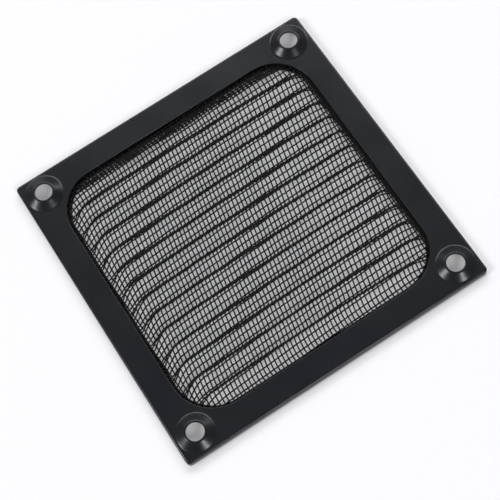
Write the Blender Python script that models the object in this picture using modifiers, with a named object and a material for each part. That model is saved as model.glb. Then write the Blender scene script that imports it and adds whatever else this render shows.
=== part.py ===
"""Fan dust filter for an 80 mm fan: a pleated wire mesh held between two stamped frames.

The filter lies flat with its bosses up. The origin is in the middle of its underside,
+Z is up, and the pleats run along X. Lengths are in metres.
"""
import math

import bmesh
import bpy

# Screw holes, the driving size: the standard spacing of an 80 mm fan
HOLE_SPACING = 0.0715
HOLE_DIAMETER = 0.0044

# Sheet metal of the two frames
SHEET = 0.0005
BACK_SHEET = 0.0005
FRAME_CORNER_RADIUS = 0.0011
BEND_RADIUS = 0.0005
BORDER = 0.00665
BACK_LAP = 0.0008

# Conical bosses round the holes
BOSS_HEIGHT = 0.00126
BOSS_BASE_DIAMETER = 0.0094
BOSS_TOP_DIAMETER = 0.0053
BOSS_FOOT_RADIUS = 0.0010
BOSS_SHOULDER_RADIUS = 0.0006
BOSS_LAND = 0.0015
SCREW_ROOM = 0.0006

# Woven wire panel
MESH_THICKNESS = 0.0004
MESH_SETBACK = 0.0020
PLEAT_PITCH = 0.00477
PLEAT_HEIGHT = 0.0023
PLEAT_BACK_RUN = 0.00145
PLEAT_BOW = 0.0006
FOLD_WIDTH = 0.0003
END_RAMP = 0.0029
SIDE_RAMP = 0.0035
FLOOR_GAP = 0.00012
GAP_COLUMNS = 8
GAP_BAR = 0.0006
GAP_SHARE = 0.8

# Fit between pieces that touch, and the depth by which a cut or an added form passes a face
CLEARANCE = 0.0003
OVERLAP = 0.00003

# Fineness of the round stretches
BOSS_SEGMENTS = 40
BOSS_ARC_STEPS = 3
CORNER_STEPS = 5
OPENING_STEPS = 12

# Colours of the finishes
FRAME_BLACK = (0.021, 0.023, 0.028)
WIRE_BLACK = (0.012, 0.012, 0.013)

# Sizes that follow from the driving ones
HOLE_PLACE = HOLE_SPACING / 2
BOSS_SLOPE = math.atan2(BOSS_HEIGHT, (BOSS_BASE_DIAMETER - BOSS_TOP_DIAMETER) / 2)
BOSS_FOOT_RUN = BOSS_FOOT_RADIUS * math.tan(BOSS_SLOPE / 2)
FRAME_HALF = HOLE_PLACE + BOSS_BASE_DIAMETER / 2 + BOSS_FOOT_RUN + BEND_RADIUS
POCKET_HALF = FRAME_HALF - SHEET
OPENING_HALF = FRAME_HALF - BORDER
BACK_OPENING_HALF = OPENING_HALF - BACK_LAP
BACK_HALF = POCKET_HALF - CLEARANCE
MESH_HALF = POCKET_HALF - MESH_SETBACK
BACK_TOP = BACK_SHEET
MESH_LEVEL = BACK_TOP + CLEARANCE + MESH_THICKNESS / 2
PLATE_UNDER = MESH_LEVEL + MESH_THICKNESS / 2 + CLEARANCE
PLATE_TOP = PLATE_UNDER + SHEET
BOSS_TOP = PLATE_TOP + BOSS_HEIGHT
TROUGH_LEVEL = FLOOR_GAP + MESH_THICKNESS / 2
CREST_LEVEL = TROUGH_LEVEL + PLEAT_HEIGHT
PLEAT_REACH = BACK_OPENING_HALF - CLEARANCE


def opening_radius():
    """Corner radius that keeps the land between the opening and the foot of a boss."""
    kept = BOSS_BASE_DIAMETER / 2 + BOSS_LAND
    diagonal = math.sqrt(2)
    return (kept - diagonal * (HOLE_PLACE - OPENING_HALF)) / (diagonal - 1)


OPENING_RADIUS = opening_radius()


def clear_scene():
    for item in list(bpy.data.objects):
        bpy.data.objects.remove(item, do_unlink=True)


def new_collection(name):
    collection = bpy.data.collections.new(name)
    bpy.context.scene.collection.children.link(collection)
    return collection


def metal(name, colour, roughness, metallic):
    material = bpy.data.materials.new(name)
    material.use_nodes = True
    shader = material.node_tree.nodes["Principled BSDF"]
    shader.inputs["Base Color"].default_value = (*colour, 1.0)
    shader.inputs["Roughness"].default_value = roughness
    shader.inputs["Metallic"].default_value = metallic
    return material


def arc(centre, radius, start, end, steps):
    """Points on an arc from one angle to another, both in degrees."""
    points = []
    for step in range(steps + 1):
        angle = math.radians(start + (end - start) * step / steps)
        points.append((centre[0] + radius * math.cos(angle), centre[1] + radius * math.sin(angle)))
    return points


def rounded_square(half, radius, steps):
    """Outline of a square with round corners, anticlockwise."""
    reach = half - radius
    outline = []
    for corner, (sx, sy) in enumerate(((1, 1), (-1, 1), (-1, -1), (1, -1))):
        outline += arc((sx * reach, sy * reach), radius, 90 * corner, 90 * corner + 90, steps)
    return outline


def notched_square(half, centre, radius, steps):
    """Outline of a square whose corners are cut away by circles about the screw holes."""
    swing = math.degrees(math.acos((half - centre) / radius))
    outline = []
    for corner, (sx, sy) in enumerate(((1, 1), (-1, 1), (-1, -1), (1, -1))):
        turn = 90 * corner
        outline += arc((sx * centre, sy * centre), radius, turn - swing, turn - 270 + swing, steps)
    return outline


def flat_plate(name, outlines, bottom, top):
    """A plate of one thickness: the first outline is its edge, the others are openings."""
    curve = bpy.data.curves.new(name, "CURVE")
    curve.dimensions = "2D"
    curve.fill_mode = "BOTH"
    curve.extrude = (top - bottom) / 2
    for outline in outlines:
        spline = curve.splines.new("POLY")
        spline.points.add(len(outline) - 1)
        for point, (x, y) in zip(spline.points, outline):
            point.co = (x, y, 0.0, 1.0)
        spline.use_cyclic_u = True
    drawing = bpy.data.objects.new(name + "_outline", curve)
    bpy.context.scene.collection.objects.link(drawing)
    bpy.context.view_layer.update()
    mesh = bpy.data.meshes.new_from_object(drawing.evaluated_get(bpy.context.evaluated_depsgraph_get()))
    bpy.data.objects.remove(drawing, do_unlink=True)
    work = bmesh.new()
    work.from_mesh(mesh)
    bmesh.ops.remove_doubles(work, verts=work.verts, dist=1e-6)
    if len(outlines) == 1:
        bmesh.ops.dissolve_limit(work, angle_limit=math.radians(1), verts=work.verts, edges=work.edges)
    bmesh.ops.translate(work, verts=work.verts, vec=(0.0, 0.0, (bottom + top) / 2))
    bmesh.ops.recalc_face_normals(work, faces=work.faces)
    work.to_mesh(mesh)
    work.free()
    mesh.name = name
    return bpy.data.objects.new(name, mesh)


def round_top_edge(thing, level, radius, segments):
    """Rounds the edges that lie in one level, as a press tool does at a fold."""
    work = bmesh.new()
    work.from_mesh(thing.data)
    edges = []
    for edge in work.edges:
        flat = all(abs(vertex.co.z - level) < 1e-6 for vertex in edge.verts)
        if flat and edge.calc_face_angle(0.0) > math.radians(45):
            edges.append(edge)
    bmesh.ops.bevel(work, geom=edges, offset=radius, segments=segments, profile=0.5, affect="EDGES")
    work.to_mesh(thing.data)
    work.free()


def turned(name, profile):
    """A turned solid from its profile, which runs down the +X side from axis to axis."""
    mesh = bpy.data.meshes.new(name)
    work = bmesh.new()
    ring = [work.verts.new((radius, 0.0, height)) for radius, height in profile]
    for upper, lower in zip(ring, ring[1:]):
        work.edges.new((upper, lower))
    work.to_mesh(mesh)
    work.free()
    thing = bpy.data.objects.new(name, mesh)
    bpy.context.scene.collection.objects.link(thing)
    screw = thing.modifiers.new("turn", "SCREW")
    screw.axis = "Z"
    screw.steps = BOSS_SEGMENTS
    screw.render_steps = BOSS_SEGMENTS
    screw.use_merge_vertices = True
    screw.merge_threshold = 1e-6
    bpy.context.view_layer.update()
    solid = bpy.data.meshes.new_from_object(thing.evaluated_get(bpy.context.evaluated_depsgraph_get()))
    bpy.data.objects.remove(thing, do_unlink=True)
    return solid


def at_each_hole(name, solid):
    """One object that holds a copy of a solid at each of the four screw holes."""
    work = bmesh.new()
    for sx, sy in ((1, 1), (-1, 1), (-1, -1), (1, -1)):
        before = set(work.verts)
        work.from_mesh(solid)
        fresh = [vertex for vertex in work.verts if vertex not in before]
        bmesh.ops.translate(work, verts=fresh, vec=(sx * HOLE_PLACE, sy * HOLE_PLACE, 0.0))
    mesh = bpy.data.meshes.new(name)
    work.to_mesh(mesh)
    work.free()
    return bpy.data.objects.new(name, mesh)


def boss_wall(inset):
    """Section of the boss wall from its shoulder to its foot, moved in by a distance.

    The sheet has one thickness, so the inner face follows the outer one: each arc keeps
    its centre, the shoulder's radius shrinks and the foot's grows.
    """
    half = BOSS_SLOPE / 2
    shoulder = BOSS_SHOULDER_RADIUS - inset
    shoulder_at = BOSS_TOP_DIAMETER / 2 - BOSS_SHOULDER_RADIUS * math.tan(half)
    foot = BOSS_FOOT_RADIUS + inset
    foot_at = BOSS_BASE_DIAMETER / 2 + BOSS_FOOT_RUN
    section = []
    for step in range(BOSS_ARC_STEPS + 1):
        angle = BOSS_SLOPE * step / BOSS_ARC_STEPS
        radius = shoulder_at + shoulder * math.sin(angle)
        section.append((radius, BOSS_TOP - BOSS_SHOULDER_RADIUS + shoulder * math.cos(angle)))
    for step in range(BOSS_ARC_STEPS + 1):
        angle = BOSS_SLOPE * (1 - step / BOSS_ARC_STEPS)
        radius = foot_at - foot * math.sin(angle)
        section.append((radius, PLATE_TOP + BOSS_FOOT_RADIUS - foot * math.cos(angle)))
    return section


def sunk_foot(section, depth):
    """Lets the last point of a section dip, so that the faces cross and don't just touch."""
    radius, height = section[-1]
    return section[:-1] + [(radius, height - OVERLAP), (radius, height - depth)]


def boss_blanks():
    """Outer form of the bosses, which is added to the plate."""
    section = sunk_foot(boss_wall(0.0), SHEET / 2)
    profile = [(0.0, BOSS_TOP)] + section + [(0.0, section[-1][1])]
    return at_each_hole("boss_blanks", turned("boss_blank", profile))


def boss_hollows():
    """Inner form of the bosses with the screw hole in the top, which is cut away."""
    section = sunk_foot(boss_wall(SHEET), SHEET)
    hole = HOLE_DIAMETER / 2
    section = [point for point in section if point[0] > hole]
    above = BOSS_TOP + SHEET
    first = section[0]
    meeting = first[1] + (first[0] - hole) * math.tan(BOSS_SLOPE)
    profile = [(0.0, above), (hole, above), (hole, meeting)] + section + [(0.0, section[-1][1])]
    return at_each_hole("boss_hollows", turned("boss_hollow", profile))


def cut_or_join(target, tool, operation, cutters):
    cutters.objects.link(tool)
    tool.hide_render = True
    tool.display_type = "WIRE"
    step = target.modifiers.new(tool.name, "BOOLEAN")
    step.operation = operation
    step.solver = "EXACT"
    step.object = tool


def front_frame(parts, cutters, finish):
    """Tray with its flange folded down, the opening and the four bosses."""
    tray_outline = rounded_square(FRAME_HALF, FRAME_CORNER_RADIUS, CORNER_STEPS)
    tray = flat_plate("front_frame", [tray_outline], 0.0, PLATE_TOP)
    round_top_edge(tray, PLATE_TOP, BEND_RADIUS, 3)
    parts.objects.link(tray)
    pocket_outline = rounded_square(POCKET_HALF, FRAME_CORNER_RADIUS - SHEET, CORNER_STEPS)
    pocket = flat_plate("tray_pocket", [pocket_outline], -SHEET, PLATE_UNDER)
    opening_outline = rounded_square(OPENING_HALF, OPENING_RADIUS, OPENING_STEPS)
    opening = flat_plate("front_opening", [opening_outline], PLATE_UNDER - SHEET, PLATE_TOP + SHEET)
    cut_or_join(tray, pocket, "DIFFERENCE", cutters)
    cut_or_join(tray, opening, "DIFFERENCE", cutters)
    cut_or_join(tray, boss_blanks(), "UNION", cutters)
    cut_or_join(tray, boss_hollows(), "DIFFERENCE", cutters)
    tray.data.materials.append(finish)
    return tray


def back_frame(parts, finish):
    """Flat ring inside the flange, flush with its lower edge."""
    notch_radius = BOSS_BASE_DIAMETER / 2 + SCREW_ROOM
    edge = notched_square(BACK_HALF, HOLE_PLACE, notch_radius, OPENING_STEPS)
    hole = rounded_square(BACK_OPENING_HALF, OPENING_RADIUS - BACK_LAP, OPENING_STEPS)
    ring = flat_plate("back_frame", [edge, hole], 0.0, BACK_TOP)
    ring.data.materials.append(finish)
    parts.objects.link(ring)
    return ring


def pleat_lines():
    """Lines across the pleats as (place along Y, level), and where the gaps begin.

    Each pleat rises on a long flank that faces -Y, has a narrow crest, falls on a short
    steep flank and ends in a narrow trough. A ramp leads to the flat border at each end.
    """
    span = 2 * PLEAT_REACH - 2 * END_RAMP - PLEAT_BACK_RUN
    count = 1 + int(span / PLEAT_PITCH)
    fold = FOLD_WIDTH / 2
    lines = [(-MESH_HALF, MESH_LEVEL)]
    gaps = []
    flank_start = (-PLEAT_REACH, MESH_LEVEL)
    for pleat in range(count):
        crest = -PLEAT_REACH + END_RAMP + pleat * PLEAT_PITCH
        flank_end = (crest - fold, CREST_LEVEL)
        gaps += add_flank(lines, flank_start, flank_end)
        lines.append((crest + fold, CREST_LEVEL))
        trough = crest + PLEAT_BACK_RUN
        lines.append((trough - fold, TROUGH_LEVEL))
        flank_start = (trough + fold, TROUGH_LEVEL)
    gaps += add_flank(lines, flank_start, (PLEAT_REACH, MESH_LEVEL))
    lines.append((MESH_HALF, MESH_LEVEL))
    return lines, gaps


def add_flank(lines, start, end):
    """Adds a flank's lines and returns the number of the strip that its gaps take."""
    margin = (1 - GAP_SHARE) / 2
    for share in (0.0, margin, 1 - margin, 1.0):
        place = start[0] + (end[0] - start[0]) * share
        level = start[1] + (end[1] - start[1]) * share
        lines.append((place, level))
    return [len(lines) - 3]


def column_lines():
    """Lines along the pleats, and the numbers of the strips that hold gaps."""
    inner = PLEAT_REACH - SIDE_RAMP
    pitch = 2 * inner / GAP_COLUMNS
    lines = [-MESH_HALF, -PLEAT_REACH, -PLEAT_REACH + SIDE_RAMP / 2]
    gaps = []
    for column in range(GAP_COLUMNS):
        start = -inner + column * pitch
        gaps.append(len(lines))
        lines.append(start + GAP_BAR / 2)
        lines.append(start + pitch - GAP_BAR / 2)
    lines += [PLEAT_REACH - SIDE_RAMP / 2, PLEAT_REACH, MESH_HALF]
    return lines, gaps


def depth_inside(x, y):
    """Distance from a point to the edge of the pleated area, a square with round corners."""
    radius = OPENING_RADIUS - BACK_LAP - CLEARANCE
    reach = PLEAT_REACH - radius
    across = abs(x) - reach
    along = abs(y) - reach
    outside = math.hypot(max(across, 0.0), max(along, 0.0))
    return radius - outside - min(max(across, along), 0.0)


def filter_mesh(parts, finish):
    """Pleated panel: a grid laid over the pleat lines, with gaps in its long flanks."""
    rows, gap_rows = pleat_lines()
    columns, gap_columns = column_lines()
    work = bmesh.new()
    bmesh.ops.create_grid(work, x_segments=len(columns) - 1, y_segments=len(rows) - 1, size=0.5)
    place_of = {}
    for vertex in work.verts:
        column = round((vertex.co.x + 0.5) * (len(columns) - 1))
        row = round((vertex.co.y + 0.5) * (len(rows) - 1))
        place_of[vertex] = (column, row)
    gap_faces = []
    for face in work.faces:
        column = min(place_of[vertex][0] for vertex in face.verts)
        row = min(place_of[vertex][1] for vertex in face.verts)
        if column in gap_columns and row in gap_rows:
            gap_faces.append(face)
    for vertex, (column, row) in place_of.items():
        x = columns[column]
        y, level = rows[row]
        share = min(max(depth_inside(x, y) / SIDE_RAMP, 0.0), 1.0)
        bow = PLEAT_BOW * share * (1 - (x / PLEAT_REACH) ** 2)
        vertex.co = (x, y + bow, MESH_LEVEL + (level - MESH_LEVEL) * share)
    gap_faces = [face for face in gap_faces if all(depth_inside(*v.co.xy) > 0.0 for v in face.verts)]
    bmesh.ops.delete(work, geom=gap_faces, context="FACES")
    corner_cut = HOLE_PLACE - BOSS_BASE_DIAMETER / 2 / math.sqrt(2)
    for sx, sy in ((1, 1), (-1, 1), (-1, -1), (1, -1)):
        bmesh.ops.bisect_plane(
            work,
            geom=work.verts[:] + work.edges[:] + work.faces[:],
            dist=1e-6,
            plane_co=(sx * corner_cut, sy * corner_cut, 0.0),
            plane_no=(sx, sy, 0.0),
            clear_outer=True,
        )
    mesh = bpy.data.meshes.new("filter_mesh")
    work.to_mesh(mesh)
    work.free()
    panel = bpy.data.objects.new("filter_mesh", mesh)
    parts.objects.link(panel)
    wall = panel.modifiers.new("wall", "SOLIDIFY")
    wall.thickness = MESH_THICKNESS
    wall.offset = 0.0
    panel.data.materials.append(finish)
    return panel


def build():
    clear_scene()
    parts = new_collection("fan_dust_filter")
    cutters = new_collection("cutters")
    frame_finish = metal("black_coated_sheet", FRAME_BLACK, 0.42, 0.2)
    wire_finish = metal("black_coated_wire", WIRE_BLACK, 0.5, 0.2)
    front_frame(parts, cutters, frame_finish)
    filter_mesh(parts, wire_finish)
    back_frame(parts, frame_finish)


build()
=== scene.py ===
# %% [markdown]
# Fan dust filter, dressed for its portrait.
#
# The object is a square black filter for an 80 mm fan. A pleated panel of woven wire sits
# between two thin frames, and the front frame has a cone-shaped boss round each screw hole.
# The CAD model gives the sizes and places. This script keeps them and adds what the CAD
# leaves plain: round edges, real wires and real finishes. Lengths are in metres.

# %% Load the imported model
import math

import bmesh
import bpy
from mathutils import Matrix, Vector


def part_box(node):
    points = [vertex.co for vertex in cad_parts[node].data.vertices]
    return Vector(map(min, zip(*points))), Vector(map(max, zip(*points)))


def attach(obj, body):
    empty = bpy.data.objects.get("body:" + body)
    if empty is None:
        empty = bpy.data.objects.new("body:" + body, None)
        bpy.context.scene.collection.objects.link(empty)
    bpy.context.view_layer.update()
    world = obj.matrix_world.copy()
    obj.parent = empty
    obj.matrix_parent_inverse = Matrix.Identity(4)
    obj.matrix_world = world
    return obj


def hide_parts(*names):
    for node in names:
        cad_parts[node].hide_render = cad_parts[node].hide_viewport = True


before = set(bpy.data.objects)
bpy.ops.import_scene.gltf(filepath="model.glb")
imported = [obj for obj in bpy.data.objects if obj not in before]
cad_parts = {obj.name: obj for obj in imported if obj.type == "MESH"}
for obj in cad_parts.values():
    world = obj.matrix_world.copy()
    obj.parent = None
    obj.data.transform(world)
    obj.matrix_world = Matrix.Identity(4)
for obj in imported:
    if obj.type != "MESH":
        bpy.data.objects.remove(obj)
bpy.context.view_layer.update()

# %% [markdown]
# Sizes come first, because every later cell uses them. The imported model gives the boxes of
# its three pieces. The rest repeats the part's own values, since this script reads no other
# file.

# %% Sizes of the frame
_, frame_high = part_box("front_frame")
_, back_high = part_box("back_frame")
_, panel_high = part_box("filter_mesh")
FRAME_HALF = frame_high.x
BOSS_TOP = frame_high.z
PANEL_HALF = panel_high.x
SHEET = 0.0005
PLATE_TOP = 0.0020
PLATE_UNDER = PLATE_TOP - SHEET
FRAME_CORNER_RADIUS = 0.0011
OPENING_HALF = 0.034583
OPENING_RADIUS = 0.010976
HOLE_PLACE = 0.03575
HOLE_RADIUS = 0.0022
print(f"frame {2000 * FRAME_HALF:.2f} mm wide, bosses {1000 * BOSS_TOP:.2f} mm high")
print(f"the back frame reaches {1000 * back_high.z:.2f} mm up")

# %% [markdown]
# A maker talks about paint in sRGB values, and Blender works in linear light. One function
# turns a hex colour into the linear colour that a shader wants. Another one adds a node
# with its settings and links, for shaders and for Geometry Nodes alike, and a third gives
# the result of a maths node.

# %% Colour and node helpers
def linear(hex_colour):
    """Linear RGBA of an sRGB hex colour."""
    channels = []
    for start in (0, 2, 4):
        value = int(hex_colour[start:start + 2], 16) / 255
        channels.append(value / 12.92 if value <= 0.04045 else ((value + 0.055) / 1.055) ** 2.4)
    return (*channels, 1.0)


def add_node(tree, kind, inputs=None, **settings):
    """Adds a node. Each input gets a value, or a link where a socket is given."""
    node = tree.nodes.new(kind)
    for name, value in settings.items():
        setattr(node, name, value)
    for key, value in (inputs or {}).items():
        if isinstance(value, bpy.types.NodeSocket):
            tree.links.new(value, node.inputs[key])
        else:
            node.inputs[key].default_value = value
    return node


def math_node(tree, operation, first, second=0.0, clamp=False):
    """The result of a maths node on values or sockets."""
    node = add_node(tree, "ShaderNodeMath", {0: first, 1: second}, operation=operation, use_clamp=clamp)
    return node.outputs[0]


print("sRGB 808080 is", round(linear("808080")[0], 3), "in linear light")

# %% [markdown]
# The frames are stamped from 0.5 mm aluminium sheet and spray coated in satin black. The
# coat is never quite even: it has a fine grain where the spray dried, about 0.1 mm across,
# and broad soft patches of more and less gloss. A single value for roughness would look
# like plastic film, so two noise patterns move it a little.

# %% Finish: satin black coated aluminium sheet
def satin_coat():
    material = bpy.data.materials.new("satin_black_coated_aluminium")
    material.use_nodes = True
    tree = material.node_tree
    shader = tree.nodes["Principled BSDF"]
    place = add_node(tree, "ShaderNodeTexCoord").outputs["Object"]
    # patches of the spray, about 12 mm across
    patches = add_node(tree, "ShaderNodeTexNoise", {"Vector": place, "Scale": 80.0, "Detail": 3.0})
    # dried spray grain, about 0.12 mm across
    grain = add_node(tree, "ShaderNodeTexNoise", {"Vector": place, "Scale": 8000.0, "Detail": 1.0})
    # a Mix node has sockets for each kind of value: inputs 6 and 7 and output 2 are colours
    tint = add_node(
        tree,
        "ShaderNodeMix",
        {0: patches.outputs["Fac"], 6: linear("121419"), 7: linear("171A1F")},
        data_type="RGBA",
    )
    gloss = add_node(
        tree,
        "ShaderNodeMapRange",
        {"Value": patches.outputs["Fac"], "From Min": 0.3, "From Max": 0.7, "To Min": 0.24, "To Max": 0.30},
    )
    bump = add_node(
        tree,
        "ShaderNodeBump",
        {"Height": grain.outputs["Fac"], "Strength": 0.10, "Distance": 0.00001},
    )
    tree.links.new(tint.outputs[2], shader.inputs["Base Color"])
    tree.links.new(gloss.outputs[0], shader.inputs["Roughness"])
    tree.links.new(bump.outputs[0], shader.inputs["Normal"])
    shader.inputs["IOR"].default_value = 1.5
    return material


coat = satin_coat()
print("made", coat.name)

# %% [markdown]
# The wire is thin aluminium, woven first and coated afterwards, so the coat is a little
# uneven along it. A wire is only a pixel or two wide in the picture, so the pattern is a
# simple one. Its shine is kept low, because a thin round wire sends most of it elsewhere.

# %% Finish: black coated woven wire
def wire_coat():
    material = bpy.data.materials.new("black_coated_wire")
    material.use_nodes = True
    tree = material.node_tree
    shader = tree.nodes["Principled BSDF"]
    place = add_node(tree, "ShaderNodeTexCoord").outputs["Object"]
    # uneven coat along the wires, patches about 1 mm long
    uneven = add_node(tree, "ShaderNodeTexNoise", {"Vector": place, "Scale": 1000.0, "Detail": 2.0})
    tint = add_node(
        tree,
        "ShaderNodeMix",
        {0: uneven.outputs["Fac"], 6: linear("050506"), 7: linear("0D0D0F")},
        data_type="RGBA",
    )
    gloss = add_node(
        tree,
        "ShaderNodeMapRange",
        {"Value": uneven.outputs["Fac"], "From Min": 0.3, "From Max": 0.7, "To Min": 0.35, "To Max": 0.6},
    )
    tree.links.new(tint.outputs[2], shader.inputs["Base Color"])
    tree.links.new(gloss.outputs[0], shader.inputs["Roughness"])
    shader.inputs["IOR"].default_value = 1.5
    shader.inputs["Specular IOR Level"].default_value = 0.25
    return material


wire_finish = wire_coat()
print("made", wire_finish.name)

# %% [markdown]
# The front frame could be cut from a block with Booleans, as the CAD does. Here it is drawn
# as rings of points joined by strips of faces, because then every edge can have the small
# round that catches the light. Three kinds of ring are needed: the outer square, the
# opening with its round corners, and circles round the screw holes.

# %% Rings of points
CORNERS = ((1, 1), (-1, 1), (-1, -1), (1, -1))
# narrow flat strip beside a round edge, which keeps the shading of the flat clean
HOLD = 0.00003
# fineness of the rings, in steps for each corner or for the whole circle
RIM_CORNER_STEPS = 8
OPENING_CORNER_STEPS = 24
HOLE_STEPS = 72


def quarter(steps):
    """Angles of a quarter turn."""
    return [math.radians(90 * step / steps) for step in range(steps + 1)]


def square_ring(half, radius, steps, level):
    """Points of a square with round corners, anticlockwise from above."""
    reach = half - radius
    points = []
    for corner, (sx, sy) in enumerate(CORNERS):
        for step in range(steps + 1):
            angle = math.radians(90 * corner + 90 * step / steps)
            x = sx * reach + radius * math.cos(angle)
            y = sy * reach + radius * math.sin(angle)
            points.append((x, y, level))
    return points


def hole_ring(centre, radius, level):
    """Points of a circle round a screw hole."""
    points = []
    for step in range(HOLE_STEPS):
        angle = 2 * math.pi * step / HOLE_STEPS
        x = centre[0] + radius * math.cos(angle)
        y = centre[1] + radius * math.sin(angle)
        points.append((x, y, level))
    return points


def join_rings(work, rings):
    """Strips of faces between one ring and the next."""
    rows = [[work.verts.new(point) for point in ring] for ring in rings]
    for first, second in zip(rows, rows[1:]):
        for step in range(len(first)):
            after = (step + 1) % len(first)
            work.faces.new((first[step], first[after], second[after], second[step]))


outer_ring = square_ring(FRAME_HALF, FRAME_CORNER_RADIUS, RIM_CORNER_STEPS, 0.0)
print("an outer ring has", len(outer_ring), "points")

# %% [markdown]
# The rim of the front frame is folded down on all four sides. Its section runs from the
# flat top over the bend, down the outside, round the lower edge and up the inside. The
# fold has a radius of 0.5 mm, and the cut edge of the sheet is only slightly round.

# %% Section of the folded rim
BEND_RADIUS = 0.0005
BEND_STEPS = 8
CUT_EDGE = 0.00006
CUT_EDGE_STEPS = 3
LEAST_CORNER_RADIUS = 0.0004


def rim_section():
    """Inset from the outer face, and level, of each ring of the rim."""
    section = [(BEND_RADIUS + HOLD, PLATE_TOP)]
    for angle in quarter(BEND_STEPS):
        level = PLATE_TOP - BEND_RADIUS * (1 - math.cos(angle))
        section.append((BEND_RADIUS * (1 - math.sin(angle)), level))
    section.append((0.0, PLATE_TOP - BEND_RADIUS - HOLD))
    section.append((0.0, CUT_EDGE + HOLD))
    for angle in quarter(CUT_EDGE_STEPS):
        section.append((CUT_EDGE * (1 - math.cos(angle)), CUT_EDGE * (1 - math.sin(angle))))
    for angle in quarter(CUT_EDGE_STEPS):
        section.append((SHEET - CUT_EDGE * (1 - math.sin(angle)), CUT_EDGE * (1 - math.cos(angle))))
    section.append((SHEET, CUT_EDGE + HOLD))
    section.append((SHEET, PLATE_UNDER - HOLD))
    section.append((SHEET, PLATE_UNDER))
    section.append((SHEET + HOLD, PLATE_UNDER))
    return section


def rim_rings():
    rings = []
    for inset, level in rim_section():
        radius = max(FRAME_CORNER_RADIUS - inset, LEAST_CORNER_RADIUS)
        rings.append(square_ring(FRAME_HALF - inset, radius, RIM_CORNER_STEPS, level))
    return rings


print("the rim's section has", len(rim_section()), "points")

# %% [markdown]
# The opening is punched out, so its top edge is rolled over slightly, by 0.15 mm. In the
# photograph that edge shows as a thin light line, and this small round makes it.

# %% Section of the punched opening
ROLL_OVER = 0.00015
ROLL_OVER_STEPS = 4


def opening_rings():
    section = [(ROLL_OVER + HOLD, PLATE_TOP)]
    for angle in quarter(ROLL_OVER_STEPS):
        level = PLATE_TOP - ROLL_OVER * (1 - math.cos(angle))
        section.append((ROLL_OVER * (1 - math.sin(angle)), level))
    section.append((0.0, PLATE_TOP - ROLL_OVER - HOLD))
    section.append((0.0, PLATE_UNDER + CUT_EDGE + HOLD))
    for angle in quarter(CUT_EDGE_STEPS):
        level = PLATE_UNDER + CUT_EDGE * (1 - math.sin(angle))
        section.append((CUT_EDGE * (1 - math.cos(angle)), level))
    section.append((CUT_EDGE + HOLD, PLATE_UNDER))
    rings = []
    for out, level in section:
        rings.append(square_ring(OPENING_HALF + out, OPENING_RADIUS + out, OPENING_CORNER_STEPS, level))
    return rings


print("the opening has", len(opening_rings()), "rings")

# %% [markdown]
# Each boss is drawn up out of the sheet by a press tool. The sheet keeps its thickness, so
# the inside follows the outside: a foot that flares into the plate, a straight cone, a
# rounded shoulder, and a flat land round the screw hole. One section gives both faces.

# %% Section of a drawn boss
# radii at which the cone meets the plate and the land
BOSS_BASE = 0.0047
BOSS_LAND = 0.00265
FOOT_RADIUS = 0.0010
SHOULDER_RADIUS = 0.0006
BOSS_ARC_STEPS = 8
HOLE_EDGE = 0.00008
BOSS_SLOPE = math.atan2(BOSS_TOP - PLATE_TOP, BOSS_BASE - BOSS_LAND)
FOOT_AT = BOSS_BASE + FOOT_RADIUS * math.tan(BOSS_SLOPE / 2)
SHOULDER_AT = BOSS_LAND - SHOULDER_RADIUS * math.tan(BOSS_SLOPE / 2)


def cone_section(inset):
    """The wall from foot to shoulder, moved in by a distance."""
    section = []
    foot = FOOT_RADIUS + inset
    shoulder = SHOULDER_RADIUS - inset
    for step in range(BOSS_ARC_STEPS + 1):
        angle = BOSS_SLOPE * step / BOSS_ARC_STEPS
        level = PLATE_TOP + FOOT_RADIUS - foot * math.cos(angle)
        section.append((FOOT_AT - foot * math.sin(angle), level))
    for step in range(BOSS_ARC_STEPS + 1):
        angle = BOSS_SLOPE * (1 - step / BOSS_ARC_STEPS)
        level = BOSS_TOP - SHOULDER_RADIUS + shoulder * math.cos(angle)
        section.append((SHOULDER_AT + shoulder * math.sin(angle), level))
    return section


def boss_section():
    """Radius and level of each ring, up the outside, through the hole and down the inside."""
    section = [(FOOT_AT + HOLD, PLATE_TOP)] + cone_section(0.0)
    section.append((HOLE_RADIUS + HOLE_EDGE + HOLD, BOSS_TOP))
    for angle in quarter(ROLL_OVER_STEPS):
        level = BOSS_TOP - HOLE_EDGE * (1 - math.cos(angle))
        section.append((HOLE_RADIUS + HOLE_EDGE * (1 - math.sin(angle)), level))
    section.append((HOLE_RADIUS, BOSS_TOP - HOLE_EDGE - HOLD))
    section.append((HOLE_RADIUS, BOSS_TOP - SHEET + CUT_EDGE + HOLD))
    for angle in quarter(CUT_EDGE_STEPS):
        level = BOSS_TOP - SHEET + CUT_EDGE * (1 - math.sin(angle))
        section.append((HOLE_RADIUS + CUT_EDGE * (1 - math.cos(angle)), level))
    section += cone_section(SHEET)[::-1]
    section.append((FOOT_AT + HOLD, PLATE_UNDER))
    return section


print(f"boss slope {math.degrees(BOSS_SLOPE):.1f} degrees, {len(boss_section())} rings")

# %% [markdown]
# Now the strips are joined and the two flats are filled in. The top flat and the under
# flat are each one plane with six boundaries: the rim, the opening and four bosses.
# Blender fills such a plane with triangles between the boundary edges. The narrow strips
# beside each round edge keep the flats looking flat under smooth shading.

# %% Front frame
# points closer than this in height lie in one plane
SAME_LEVEL = 1e-7


def finished_piece(name, work, material):
    """Turns a bmesh into a piece that rides on the filter's one body."""
    mesh = bpy.data.meshes.new(name)
    work.to_mesh(mesh)
    work.free()
    mesh.shade_smooth()
    mesh.materials.append(material)
    piece = bpy.data.objects.new(name, mesh)
    bpy.context.scene.collection.objects.link(piece)
    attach(piece, "root")
    return piece


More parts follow.
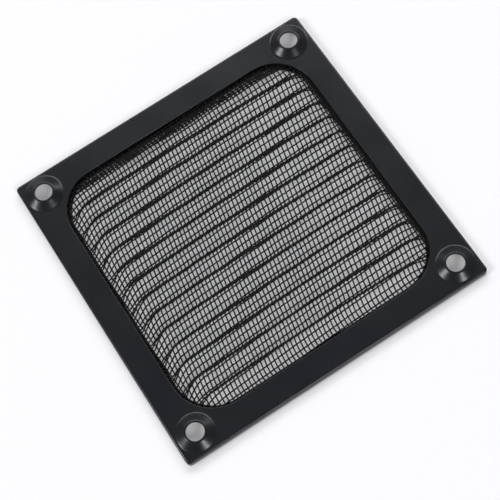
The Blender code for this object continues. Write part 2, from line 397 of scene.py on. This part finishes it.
def fill_flat(work, level):
    """Fills the plane at one level between all open edges that lie in it."""
    edges = []
    for edge in work.edges:
        if edge.is_boundary and all(abs(vertex.co.z - level) < SAME_LEVEL for vertex in edge.verts):
            edges.append(edge)
    bmesh.ops.triangle_fill(work, edges=edges, use_beauty=True, normal=(0.0, 0.0, 1.0))


def front_frame():
    work = bmesh.new()
    join_rings(work, rim_rings())
    join_rings(work, opening_rings())
    for sx, sy in CORNERS:
        centre = (sx * HOLE_PLACE, sy * HOLE_PLACE)
        join_rings(work, [hole_ring(centre, radius, level) for radius, level in boss_section()])
    fill_flat(work, PLATE_TOP)
    fill_flat(work, PLATE_UNDER)
    bmesh.ops.recalc_face_normals(work, faces=work.faces)
    open_edges = sum(1 for edge in work.edges if not edge.is_manifold)
    print("front frame:", len(work.faces), "faces,", open_edges, "open edges")
    return finished_piece("front_frame_sheet", work, coat)


front = front_frame()
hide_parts("front_frame")

# %% [markdown]
# The back frame is a plain flat ring behind the mesh. Its CAD shape is already right, so it
# stays and only takes the same coat as the front.

# %% Back frame
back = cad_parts["back_frame"]
for material_slot in back.material_slots:
    material_slot.material = coat
print("back frame keeps", len(back.data.polygons), "faces and wears", coat.name)

# %% [markdown]
# The pleats follow one rule, so the wires are a job for Geometry Nodes. First comes the
# line that the mesh takes across the pleats: it leaves the flat border, climbs a long flank
# that faces -Y, turns over a narrow crest and drops down a steep back. At the +Y side the
# last half pleat is crushed against the frame into three small folds, as in the photograph.
# Every wire that crosses the pleats follows this line, and the wires along the pleats are
# spaced on it.

# %% Line of the pleats
PLEATS = 13
PLEAT_PITCH = 0.00477
PLEAT_BACK_RUN = 0.00145
PLEAT_REACH = 0.033483
END_RAMP = 0.0029
BORDER_LEVEL = 0.0010
TROUGH_LEVEL = 0.00036
CREST_LEVEL = 0.00262
# half of the width of a crest or trough
FOLD = 0.00015
# the small folds that are crushed against the frame at the +Y side
CRUSHED_FOLDS = 3
CRUSHED_FROM = 0.0316
CRUSHED_PITCH = 0.00078
CRUSHED_HIGH = 0.0018
CRUSHED_LOW = 0.0007


def pleat_line():
    """Place along Y and level of each bend, from one border to the other."""
    line = [(-PANEL_HALF, BORDER_LEVEL), (-PLEAT_REACH, BORDER_LEVEL)]
    for pleat in range(PLEATS):
        crest = -PLEAT_REACH + END_RAMP + pleat * PLEAT_PITCH
        trough = crest + PLEAT_BACK_RUN
        line += [(crest - FOLD, CREST_LEVEL), (crest + FOLD, CREST_LEVEL)]
        line += [(trough - FOLD, TROUGH_LEVEL), (trough + FOLD, TROUGH_LEVEL)]
    # the crushed folds lean back over themselves
    for fold in range(CRUSHED_FOLDS):
        crest = CRUSHED_FROM + fold * CRUSHED_PITCH
        line += [(crest, CRUSHED_HIGH), (crest + FOLD, CRUSHED_HIGH)]
        line += [(crest - FOLD, CRUSHED_LOW), (crest, CRUSHED_LOW)]
    line += [(PLEAT_REACH, BORDER_LEVEL), (PANEL_HALF, BORDER_LEVEL)]
    return line


def line_object(name):
    """The line as a curve, which Geometry Nodes take as their input."""
    curve = bpy.data.curves.new(name, "CURVE")
    curve.dimensions = "3D"
    line = pleat_line()
    spline = curve.splines.new("POLY")
    spline.points.add(len(line) - 1)
    for point, (place, level) in zip(spline.points, line):
        point.co = (0.0, place, level, 1.0)
    thing = bpy.data.objects.new(name, curve)
    bpy.context.scene.collection.objects.link(thing)
    return thing


line_length = sum(math.dist(a, b) for a, b in zip(pleat_line(), pleat_line()[1:]))
print(f"{PLEATS} pleats, {1000 * line_length:.1f} mm of mesh across a panel {2000 * PANEL_HALF:.1f} mm wide")

# %% [markdown]
# The weave is a plain one. The wires that cross the pleats are 1.05 mm apart, and the wires
# along the pleats 1.33 mm. Each wire goes over one neighbour and under the next, which is a
# cosine wave. Wire for such a mesh is about 0.25 mm thick. It is drawn 0.38 mm thick here,
# because the lines in the photograph are that wide. The counts of wires are large enough
# for the cloth to cover the panel after it has been turned askew.

# %% Sizes of the weave
WIRE_RADIUS = 0.00019
WARP_PITCH = 0.00105
WEFT_PITCH = 0.00133
SKEW = math.radians(2.1)
WARP_WIRES = 1 + 2 * math.ceil((PANEL_HALF + line_length / 2 * math.sin(SKEW)) / WARP_PITCH)
WEFT_WIRES = 1 + 2 * math.ceil((line_length / 2 + PANEL_HALF * math.sin(SKEW)) / WEFT_PITCH)
# how far a wire leaves the middle of the mesh at a crossing
WEAVE_RISE = 0.00014
# |x| + |y| at which the panel's corners are cut, clear of the bosses
CORNER_CUT = 2 * HOLE_PLACE - math.sqrt(2) * BOSS_BASE
print(WARP_WIRES, "wires across the pleats,", WEFT_WIRES, "wires along them")

# %% [markdown]
# A node group bends each point of the mesh into its place in the frame. Both families of
# wires use the same group, which keeps them together at every crossing. It is made in a few
# steps, and each step is a short function that adds its nodes and returns their result.
# Every size is a named input of the group.
#
# The first step is for the +X ends of the pleats, where the wires are bunched together. A
# smooth ramp pushes them towards the end, and a straight one takes the push back at the
# edge. So they stand a little apart first, and close together at the end.

# %% Pressed form: bunched ends
BUNCHING_INPUTS = [
    ("Bunching", "NodeSocketFloat", 0.0024),
    ("Bunching Start", "NodeSocketFloat", 0.008),
    ("Bunching Peak", "NodeSocketFloat", 0.0305),
    ("Bunching End", "NodeSocketFloat", 0.0349),
]


def bunched(tree, given, x):
    """Place along X after the bunching."""
    apart = add_node(
        tree,
        "ShaderNodeMapRange",
        {"Value": x, "From Min": given["Bunching Start"], "From Max": given["Bunching Peak"]},
        interpolation_type="SMOOTHSTEP",
    ).outputs[0]
    together = add_node(
        tree,
        "ShaderNodeMapRange",
        {
            "Value": x,
            "From Min": given["Bunching Peak"],
            "From Max": given["Bunching End"],
            "To Min": 1.0,
            "To Max": 0.0,
        },
    ).outputs[0]
    push = math_node(tree, "MULTIPLY", math_node(tree, "MULTIPLY", apart, together), given["Bunching"])
    return math_node(tree, "ADD", x, push)


print("the bunching has", len(BUNCHING_INPUTS), "inputs")

# %% [markdown]
# Near the frame the pleats are pressed flat, so their height fades out over the last 4.5 mm.
# The pleated area is a square with round corners, and the depth of a point inside it gives
# the share of the full height that it keeps.

# %% Pressed form: height beside the frame
SHARE_INPUTS = [
    ("Reach", "NodeSocketFloat", PLEAT_REACH),
    ("Corner Radius", "NodeSocketFloat", 0.0099),
    ("Ramp", "NodeSocketFloat", 0.0045),
]


def pleat_share(tree, given, x, y):
    """Share of the full pleat, 0 in the border and 1 well inside."""
    inner = math_node(tree, "SUBTRACT", given["Reach"], given["Corner Radius"])
    across = math_node(tree, "SUBTRACT", math_node(tree, "ABSOLUTE", x), inner)
    along = math_node(tree, "SUBTRACT", math_node(tree, "ABSOLUTE", y), inner)
    outside = add_node(
        tree,
        "ShaderNodeCombineXYZ",
        {0: math_node(tree, "MAXIMUM", across, 0.0), 1: math_node(tree, "MAXIMUM", along, 0.0)},
    ).outputs[0]
    distance = add_node(tree, "ShaderNodeVectorMath", {0: outside}, operation="LENGTH").outputs["Value"]
    inside = math_node(tree, "MINIMUM", math_node(tree, "MAXIMUM", across, along), 0.0)
    depth = math_node(tree, "SUBTRACT", math_node(tree, "SUBTRACT", given["Corner Radius"], distance), inside)
    # the height rises steeply from the frame and levels off
    steps_in = math_node(tree, "DIVIDE", depth, given["Ramp"], clamp=True)
    left_over = math_node(tree, "SUBTRACT", 1.0, steps_in)
    return math_node(tree, "SUBTRACT", 1.0, math_node(tree, "MULTIPLY", left_over, left_over))


print("the height has", len(SHARE_INPUTS), "inputs")

# %% [markdown]
# The lines of the pleats aren't straight. They bow a little towards +Y, most in the middle,
# and at their -X ends they droop towards -Y, though less beside the other two sides.

# %% Pressed form: bow and droop of the lines
BEND_INPUTS = [
    ("Bow", "NodeSocketFloat", 0.0006),
    ("Droop", "NodeSocketFloat", 0.0017),
    ("Droop Length", "NodeSocketFloat", 0.0058),
    ("Droop Margin", "NodeSocketFloat", 0.005),
]


def line_bend(tree, given, x, y, share):
    """How far a line leaves its straight course, along Y."""
    reached = math_node(tree, "DIVIDE", x, given["Reach"])
    fullness = math_node(tree, "SUBTRACT", 1.0, math_node(tree, "MULTIPLY", reached, reached))
    bow = math_node(tree, "MULTIPLY", math_node(tree, "MULTIPLY", given["Bow"], share), fullness)
    from_end = math_node(tree, "ADD", x, given["Reach"])
    inwards = math_node(tree, "DIVIDE", from_end, given["Droop Length"], clamp=True)
    near_end = math_node(tree, "SUBTRACT", 1.0, inwards)
    from_side = math_node(tree, "SUBTRACT", given["Reach"], math_node(tree, "ABSOLUTE", y))
    off_side = math_node(tree, "DIVIDE", from_side, given["Droop Margin"], clamp=True)
    drop = math_node(tree, "MULTIPLY", math_node(tree, "MULTIPLY", near_end, near_end), off_side)
    return math_node(tree, "SUBTRACT", bow, math_node(tree, "MULTIPLY", drop, given["Droop"]))


print("the bend has", len(BEND_INPUTS), "inputs")

# %% [markdown]
# Two small movements make the wires real. They were never quite straight, so a slow noise,
# about 5 mm long, moves them in the flat. And each wire rises and falls with the weave. That
# rise stands square to the mesh, which faces straight up only where it lies flat.

# %% Pressed form: wobble and rise of the wires
WIRE_INPUTS = [
    ("Facing", "NodeSocketVector", None),
    ("Rise", "NodeSocketFloat", 0.0),
    ("Wobble", "NodeSocketFloat", 0.00018),
    ("Wobble Scale", "NodeSocketFloat", 200.0),
]


def vector_node(tree, operation, inputs):
    """The result of a vector maths node."""
    return add_node(tree, "ShaderNodeVectorMath", inputs, operation=operation).outputs[0]


def wobbled(tree, given, place, share):
    """A place moved by the slow noise."""
    noise = add_node(
        tree, "ShaderNodeTexNoise", {"Vector": given["Place"], "Scale": given["Wobble Scale"], "Detail": 1.0}
    )
    centred = vector_node(tree, "SUBTRACT", {0: noise.outputs["Color"], 1: (0.5, 0.5, 0.5)})
    flat = vector_node(tree, "MULTIPLY", {0: centred, 1: (2.0, 2.0, 0.0)})
    strength = math_node(tree, "MULTIPLY", given["Wobble"], share)
    wobble = vector_node(tree, "SCALE", {0: flat, "Scale": strength})
    return vector_node(tree, "ADD", {0: place, 1: wobble})


def lifted(tree, given, place, share):
    """A place moved by the weave's rise."""
    # inputs 4 and 5 and output 1 of a Mix node are its vectors
    turned = add_node(
        tree,
        "ShaderNodeMix",
        {0: share, 4: (0.0, 0.0, 1.0), 5: given["Facing"]},
        data_type="VECTOR",
    ).outputs[1]
    unit = vector_node(tree, "NORMALIZE", {0: turned})
    lift = vector_node(tree, "SCALE", {0: unit, "Scale": given["Rise"]})
    return vector_node(tree, "ADD", {0: place, 1: lift})


print("the wires have", len(WIRE_INPUTS), "inputs")

# %% [markdown]
# Now the steps come together. The camera stands higher than the one that took the
# photograph, so the crests are also pushed sideways and forwards, in proportion to their
# height. That shows their flanks as the photograph does.

# %% Pressed form: the whole group
PLACE_INPUTS = [
    ("Place", "NodeSocketVector", None),
    ("Border Level", "NodeSocketFloat", BORDER_LEVEL),
    ("Sideways Push", "NodeSocketFloat", 0.40),
    ("Forward Push", "NodeSocketFloat", 0.43),
]


def new_tree(name, inputs, outputs):
    """An empty tree with its named inputs, which are (title, kind, value), and outputs."""
    tree = bpy.data.node_groups.new(name, "GeometryNodeTree")
    for title, kind, value in inputs:
        socket = tree.interface.new_socket(title, in_out="INPUT", socket_type=kind)
        if value is not None:
            socket.default_value = value
    for title, kind in outputs:
        tree.interface.new_socket(title, in_out="OUTPUT", socket_type=kind)
    return tree


def pressed_form():
    inputs = PLACE_INPUTS + WIRE_INPUTS + SHARE_INPUTS + BEND_INPUTS + BUNCHING_INPUTS
    tree = new_tree("pressed_form", inputs, [("Place", "NodeSocketVector")])
    given = add_node(tree, "NodeGroupInput").outputs
    flat = add_node(tree, "ShaderNodeSeparateXYZ", {0: given["Place"]}).outputs
    x = bunched(tree, given, flat[0])
    y = flat[1]
    share = pleat_share(tree, given, x, y)
    bend = line_bend(tree, given, x, y, share)
    height = math_node(tree, "MULTIPLY", math_node(tree, "SUBTRACT", flat[2], given["Border Level"]), share)
    side_push = math_node(tree, "MULTIPLY", height, given["Sideways Push"])
    forward_push = math_node(tree, "MULTIPLY", height, given["Forward Push"])
    placed = add_node(
        tree,
        "ShaderNodeCombineXYZ",
        {
            0: math_node(tree, "ADD", x, side_push),
            1: math_node(tree, "ADD", math_node(tree, "ADD", y, bend), forward_push),
            2: math_node(tree, "ADD", given["Border Level"], height),
        },
    ).outputs[0]
    moved = wobbled(tree, given, placed, share)
    add_node(tree, "NodeGroupOutput", {0: lifted(tree, given, moved, share)})
    return tree


pressed = pressed_form()
print("group", pressed.name, "has", len(pressed.nodes), "nodes")

# %% [markdown]
# Real mesh is woven flat and folded afterwards, and the script does the same. First come
# straight wires on a flat cloth, one family at a time. Three points for each crossing are
# enough for the weave. Both families are centred on the cloth, with a wire and a crossing
# at its middle.

# %% Straight wires on a flat cloth
def flat_cloth(tree, given, along_pleats):
    """One family of straight wires, as curves."""
    pitches = (given["Warp Pitch"], given["Weft Pitch"])
    along, across = pitches if along_pleats else pitches[::-1]

    def at(length):
        """A place on the axis that the wires run along."""
        return add_node(tree, "ShaderNodeCombineXYZ", {0 if along_pleats else 1: length}).outputs[0]

    def spread(length):
        """A place on the axis that the wires are spaced along."""
        return add_node(tree, "ShaderNodeCombineXYZ", {1 if along_pleats else 0: length}).outputs[0]

    half_crossings = math_node(tree, "FLOOR", math_node(tree, "DIVIDE", given["Crossings"], 2.0))
    half_wires = math_node(tree, "FLOOR", math_node(tree, "DIVIDE", given["Wires"], 2.0))
    half_long = math_node(tree, "MULTIPLY", half_crossings, along)
    half_wide = math_node(tree, "MULTIPLY", half_wires, across)
    straight = add_node(
        tree,
        "GeometryNodeCurvePrimitiveLine",
        {"Start": at(math_node(tree, "MULTIPLY", half_long, -1.0)), "End": at(half_long)},
    ).outputs[0]
    third = math_node(tree, "DIVIDE", along, 3.0)
    wire = add_node(
        tree, "GeometryNodeResampleCurve", {"Curve": straight, "Length": third}, mode="LENGTH"
    ).outputs[0]
    places = add_node(
        tree,
        "GeometryNodeMeshLine",
        {
            "Count": given["Wires"],
            "Start Location": spread(math_node(tree, "MULTIPLY", half_wide, -1.0)),
            "Offset": spread(across),
        },
        mode="OFFSET",
    ).outputs[0]
    copies = add_node(tree, "GeometryNodeInstanceOnPoints", {"Points": places, "Instance": wire})
    return add_node(tree, "GeometryNodeRealizeInstances", {0: copies.outputs[0]}).outputs[0]


cloth_width = WARP_PITCH * (WARP_WIRES - 1)
cloth_length = WEFT_PITCH * (WEFT_WIRES - 1)
print(f"the cloth is {1000 * cloth_width:.1f} by {1000 * cloth_length:.1f} mm")

# %% [markdown]
# Each wire goes over one neighbour and under the next. The wave depends only on the place on
# the flat cloth, and the other family has it the other way up.

# %% Rise and fall of the weave
def weave_rise(tree, given, flat):
    turn = math_node(
        tree,
        "ADD",
        math_node(tree, "DIVIDE", flat[0], given["Warp Pitch"]),
        math_node(tree, "DIVIDE", flat[1], given["Weft Pitch"]),
    )
    wave = math_node(tree, "COSINE", math_node(tree, "MULTIPLY", turn, math.pi))
    return math_node(tree, "MULTIPLY", wave, given["Weave Rise"])


print(f"the weave rises by {1000 * WEAVE_RISE:.2f} mm")

# %% [markdown]
# Sampling the pleat line at a point's place across the cloth folds the cloth. Wire can't
# fold sharply, so the bends of the line are rounded first. The tangent of the line also
# gives the way that the mesh faces.

# %% Folding along the pleat line
FOLD_RADIUS = 0.0003


def folded(tree, given, turned):
    """Place and facing of a point after the folding."""
    rounded = add_node(
        tree,
        "GeometryNodeFilletCurve",
        {"Curve": given["Pleat Line"], "Radius": given["Fold Radius"], "Limit Radius": True, "Count": 3},
        mode="POLY",
    ).outputs[0]
    length = math_node(tree, "ADD", turned[1], math_node(tree, "MULTIPLY", given["Line Length"], 0.5))
    sample = add_node(
        tree, "GeometryNodeSampleCurve", {"Curves": rounded, "Length": length}, mode="LENGTH"
    ).outputs
    on_line = add_node(tree, "ShaderNodeSeparateXYZ", {0: sample["Position"]}).outputs
    place = add_node(
        tree, "ShaderNodeCombineXYZ", {0: turned[0], 1: on_line[1], 2: on_line[2]}
    ).outputs[0]
    facing = add_node(
        tree,
        "ShaderNodeVectorMath",
        {0: (1.0, 0.0, 0.0), 1: sample["Tangent"]},
        operation="CROSS_PRODUCT",
    ).outputs[0]
    return place, facing


print(f"folds have a radius of {1000 * FOLD_RADIUS:.1f} mm")

# %% [markdown]
# The panel is cut out of the cloth as a square with cut corners, clear of the bosses. Each
# point that lies beyond it is marked as waste under a name before the points move. The mark
# stays with the point, so the waste can be cut off after the folding.

# %% Waste beyond the panel
def stored(tree, geometry, name, value):
    """Keeps a value on the points under a name."""
    return add_node(
        tree, "GeometryNodeStoreNamedAttribute", {"Geometry": geometry, "Name": name, "Value": value}
    ).outputs[0]


def recalled(tree, name):
    """The value that was kept under a name."""
    return add_node(tree, "GeometryNodeInputNamedAttribute", {"Name": name}).outputs[0]


def beyond_panel(tree, given, turned, place):
    """1 for a point of waste and 0 for the others."""
    wide = math_node(tree, "ABSOLUTE", turned[0])
    folded_y = add_node(tree, "ShaderNodeSeparateXYZ", {0: place}).outputs[1]
    deep = math_node(tree, "ABSOLUTE", folded_y)
    half_line = math_node(tree, "MULTIPLY", given["Line Length"], 0.5)
    side = math_node(tree, "GREATER_THAN", wide, given["Half Width"])
    end = math_node(tree, "GREATER_THAN", math_node(tree, "ABSOLUTE", turned[1]), half_line)
    corner = math_node(tree, "GREATER_THAN", math_node(tree, "ADD", wide, deep), given["Corner Cut"])
    return math_node(tree, "MAXIMUM", math_node(tree, "MAXIMUM", side, end), corner)


print(f"corners are cut where |x| + |y| is {1000 * CORNER_CUT:.1f} mm")

# %% [markdown]
# The curves become round wires at the end. There are about six thousand crossings, so a
# wire has only five sides, and smooth shading makes it look round.

# %% Round wires
WIRE_SIDES = 5


def round_wires(tree, given, curves):
    section = add_node(
        tree, "GeometryNodeCurvePrimitiveCircle", {"Resolution": WIRE_SIDES, "Radius": given["Wire Radius"]}
    ).outputs[0]
    solid = add_node(
        tree, "GeometryNodeCurveToMesh", {"Curve": curves, "Profile Curve": section, "Fill Caps": True}
    ).outputs[0]
    smooth = add_node(tree, "GeometryNodeSetShadeSmooth", {0: solid}).outputs[0]
    real = add_node(tree, "GeometryNodeRealizeInstances", {0: smooth}).outputs[0]
    return add_node(
        tree, "GeometryNodeSetMaterial", {"Geometry": real, "Material": given["Finish"]}
    ).outputs[0]


print("a wire has", WIRE_SIDES, "sides")

# %% [markdown]
# One tree runs all of this for either family. It also turns the cloth by two degrees before
# the folding, because the real one looks as if it went into the folding tool slightly
# askew: a row of cells slips under each fold.

# %% Geometry Nodes: one family of wires
def wire_inputs(along_pleats):
    return [
        ("Pleat Line", "NodeSocketGeometry", None),
        ("Line Length", "NodeSocketFloat", line_length),
        ("Fold Radius", "NodeSocketFloat", FOLD_RADIUS),
        ("Half Width", "NodeSocketFloat", PANEL_HALF),
        ("Wires", "NodeSocketInt", WEFT_WIRES if along_pleats else WARP_WIRES),
        ("Crossings", "NodeSocketInt", WARP_WIRES if along_pleats else WEFT_WIRES),
        ("Warp Pitch", "NodeSocketFloat", WARP_PITCH),
        ("Weft Pitch", "NodeSocketFloat", WEFT_PITCH),
        ("Skew", "NodeSocketFloat", SKEW),
        ("Wire Radius", "NodeSocketFloat", WIRE_RADIUS),
        ("Weave Rise", "NodeSocketFloat", -WEAVE_RISE if along_pleats else WEAVE_RISE),
        ("Corner Cut", "NodeSocketFloat", CORNER_CUT),
        ("Finish", "NodeSocketMaterial", None),
    ]


def wire_tree(name, along_pleats):
    tree = new_tree(name, wire_inputs(along_pleats), [("Wires", "NodeSocketGeometry")])
    given = add_node(tree, "NodeGroupInput").outputs
    cloth = flat_cloth(tree, given, along_pleats)
    start = add_node(tree, "GeometryNodeInputPosition").outputs[0]
    rise = weave_rise(tree, given, add_node(tree, "ShaderNodeSeparateXYZ", {0: start}).outputs)
    askew = add_node(
        tree, "ShaderNodeVectorRotate", {"Vector": start, "Angle": given["Skew"]}, rotation_type="Z_AXIS"
    ).outputs[0]
    turned = add_node(tree, "ShaderNodeSeparateXYZ", {0: askew}).outputs
    place, facing = folded(tree, given, turned)
    form = add_node(
        tree,
        "GeometryNodeGroup",
        {"Place": place, "Facing": facing, "Rise": rise},
        node_tree=pressed,
    ).outputs[0]
    marked = stored(tree, cloth, "waste", beyond_panel(tree, given, turned, place))
    shaped = add_node(
        tree, "GeometryNodeSetPosition", {"Geometry": marked, "Position": form}
    ).outputs[0]
    panel = add_node(
        tree,
        "GeometryNodeDeleteGeometry",
        {"Geometry": shaped, "Selection": recalled(tree, "waste")},
        domain="POINT",
    ).outputs[0]
    add_node(tree, "NodeGroupOutput", {0: round_wires(tree, given, panel)})
    return tree


print("a family of wires has", len(wire_inputs(True)), "inputs")

# %% [markdown]
# A Geometry Nodes modifier is only a recipe, so its result is turned into a plain mesh, and
# the guide line is thrown away. Each family stays a piece of its own, which keeps both of
# them light.

# %% Wires across and along the pleats
def woven(name, along_pleats):
    guide = line_object(name + "_guide")
    tree = wire_tree(name + "_tree", along_pleats)
    recipe = guide.modifiers.new("wires", "NODES")
    recipe.node_group = tree
    for item in tree.interface.items_tree:
        if item.name == "Finish":
            recipe[item.identifier] = wire_finish
    bpy.context.view_layer.update()
    result = guide.evaluated_get(bpy.context.evaluated_depsgraph_get())
    mesh = bpy.data.meshes.new_from_object(result)
    bpy.data.objects.remove(guide, do_unlink=True)
    work = bmesh.new()
    work.from_mesh(mesh)
    bpy.data.meshes.remove(mesh)
    # the waste mark has done its work
    for layer in list(work.verts.layers.float):
        work.verts.layers.float.remove(layer)
    triangles = sum(len(face.verts) - 2 for face in work.faces)
    print(name, len(work.faces), "faces,", triangles, "triangles")
    return finished_piece(name, work, wire_finish)


warp = woven("warp_wires", False)
weft = woven("weft_wires", True)
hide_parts("filter_mesh")
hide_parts("filter_mesh")

# %% [markdown]
# The filter lies on a plain white table. The table is real enough to take its shadow, and a
# little of its white is given to the camera directly, so that it stays white without more
# light on the black filter.

# %% Table
TABLE_HALF = 3.0
# the table lies a hair below the filter, so that their faces don't fight
TABLE_DROP = 0.00001
TABLE_GLOW = 0.22


def white_table():
    work = bmesh.new()
    bmesh.ops.create_grid(work, x_segments=1, y_segments=1, size=TABLE_HALF)
    bmesh.ops.translate(work, verts=work.verts, vec=(0.0, 0.0, -TABLE_DROP))
    mesh = bpy.data.meshes.new("table")
    work.to_mesh(mesh)
    work.free()
    table = bpy.data.objects.new("table", mesh)
    bpy.context.scene.collection.objects.link(table)
    material = bpy.data.materials.new("white_table")
    material.use_nodes = True
    tree = material.node_tree
    tree.nodes.clear()
    path = add_node(tree, "ShaderNodeLightPath")
    seen = math_node(
        tree,
        "MAXIMUM",
        path.outputs["Is Camera Ray"],
        math_node(tree, "MAXIMUM", path.outputs["Is Glossy Ray"], path.outputs["Is Transmission Ray"]),
    )
    strength = math_node(tree, "MULTIPLY", seen, TABLE_GLOW)
    paint = add_node(tree, "ShaderNodeBsdfDiffuse", {"Color": linear("EBEBED")})
    glow = add_node(tree, "ShaderNodeEmission", {"Color": linear("FDFDFF"), "Strength": strength})
    both = add_node(tree, "ShaderNodeAddShader", {0: paint.outputs[0], 1: glow.outputs[0]})
    add_node(tree, "ShaderNodeOutputMaterial", {"Surface": both.outputs[0]})
    mesh.materials.append(material)
    return table


table = white_table()
print("made", table.name)

# %% [markdown]
# Soft studio light comes from three rectangular lamps and a dim room. The key lamp is broad
# and stands behind on the right, and gives the flat frame its tone. The lamp on the left
# puts the light streak on the left of each boss and on the bend of the -X side. The lamp in
# front puts the streak on the right of each boss. The room adds an even light, so that a
# colour shows about as it is written, and it looks white to the camera.

# %% Lights
ROOM_LIGHT = 0.2


def softbox(name, azimuth, elevation, radiance, width, height, distance=2.5):
    """A rectangular lamp that faces the filter. Azimuth goes from +X towards +Y, in degrees."""
    lamp = bpy.data.lights.new(name, "AREA")
    lamp.shape = "RECTANGLE"
    lamp.size = width
    lamp.size_y = height
    lamp.energy = radiance * math.pi * width * height
    thing = bpy.data.objects.new(name, lamp)
    a, e = math.radians(azimuth), math.radians(elevation)
    towards = Vector((math.cos(a) * math.cos(e), math.sin(a) * math.cos(e), math.sin(e)))
    thing.location = towards * distance
    thing.rotation_mode = "QUATERNION"
    thing.rotation_quaternion = towards.to_track_quat("Z", "Y")
    bpy.context.scene.collection.objects.link(thing)
    share = radiance * width * height / distance ** 2 * math.sin(e) / math.pi
    print(f"{name} lights a white sheet on the table to about {share:.2f} of full white")


softbox("key_softbox", azimuth=62.0, elevation=42.0, radiance=3.9, width=3.6, height=0.9)
softbox("left_softbox", azimuth=170.0, elevation=42.0, radiance=13.0, width=0.6, height=0.9)
softbox("front_softbox", azimuth=-82.0, elevation=42.0, radiance=14.0, width=0.45, height=0.8)
world = bpy.data.worlds.new("room")
world.use_nodes = True
sky = world.node_tree
room = sky.nodes["Background"]
room.inputs["Color"].default_value = (1.0, 1.0, 1.0, 1.0)
looked_at = add_node(sky, "ShaderNodeLightPath").outputs["Is Camera Ray"]
sky.links.new(math_node(sky, "MAXIMUM", looked_at, ROOM_LIGHT), room.inputs["Strength"])
bpy.context.scene.world = world

# %% [markdown]
# The camera looks down at the filter from the near left, 69 degrees above the table. The
# photograph was taken from lower down and then squeezed from 4:3 to a square, which no
# camera with square pixels can repeat. This place brings the frame's outline, opening and
# holes close to the photograph.

# %% Camera
SENSOR_WIDTH_MM = 36.0
PICTURE_PIXELS = 500.0


def camera(azimuth, elevation, roll, distance, target, focal_pixels):
    """A camera that looks at a target. Azimuth goes from -Y towards +X, in degrees."""
    a, e, r = math.radians(azimuth), math.radians(elevation), math.radians(roll)
    back_way = Vector((math.sin(a) * math.cos(e), -math.cos(a) * math.cos(e), math.sin(e)))
    right = Vector((math.cos(a), math.sin(a), 0.0))
    up = back_way.cross(right)
    turned_right = right * math.cos(r) + up * math.sin(r)
    turned_up = up * math.cos(r) - right * math.sin(r)
    lens = bpy.data.cameras.new("camera")
    lens.lens = focal_pixels * SENSOR_WIDTH_MM / PICTURE_PIXELS
    lens.clip_start = 0.01
    lens.clip_end = 20.0
    eye = bpy.data.objects.new("camera", lens)
    bpy.context.scene.collection.objects.link(eye)
    matrix = Matrix((turned_right, turned_up, back_way)).transposed().to_4x4()
    matrix.translation = Vector(target) + back_way * distance
    eye.matrix_world = matrix
    bpy.context.scene.camera = eye
    return eye


eye = camera(
    azimuth=-15.71,
    elevation=69.0,
    roll=-17.75,
    distance=0.3266,
    target=(-0.0019, -0.00544, PLATE_TOP),
    focal_pixels=1377.0,
)
bpy.context.scene.view_settings.view_transform = "Standard"
print(f"lens {eye.data.lens:.1f} mm, {1000 * eye.location.length:.0f} mm from the filter")
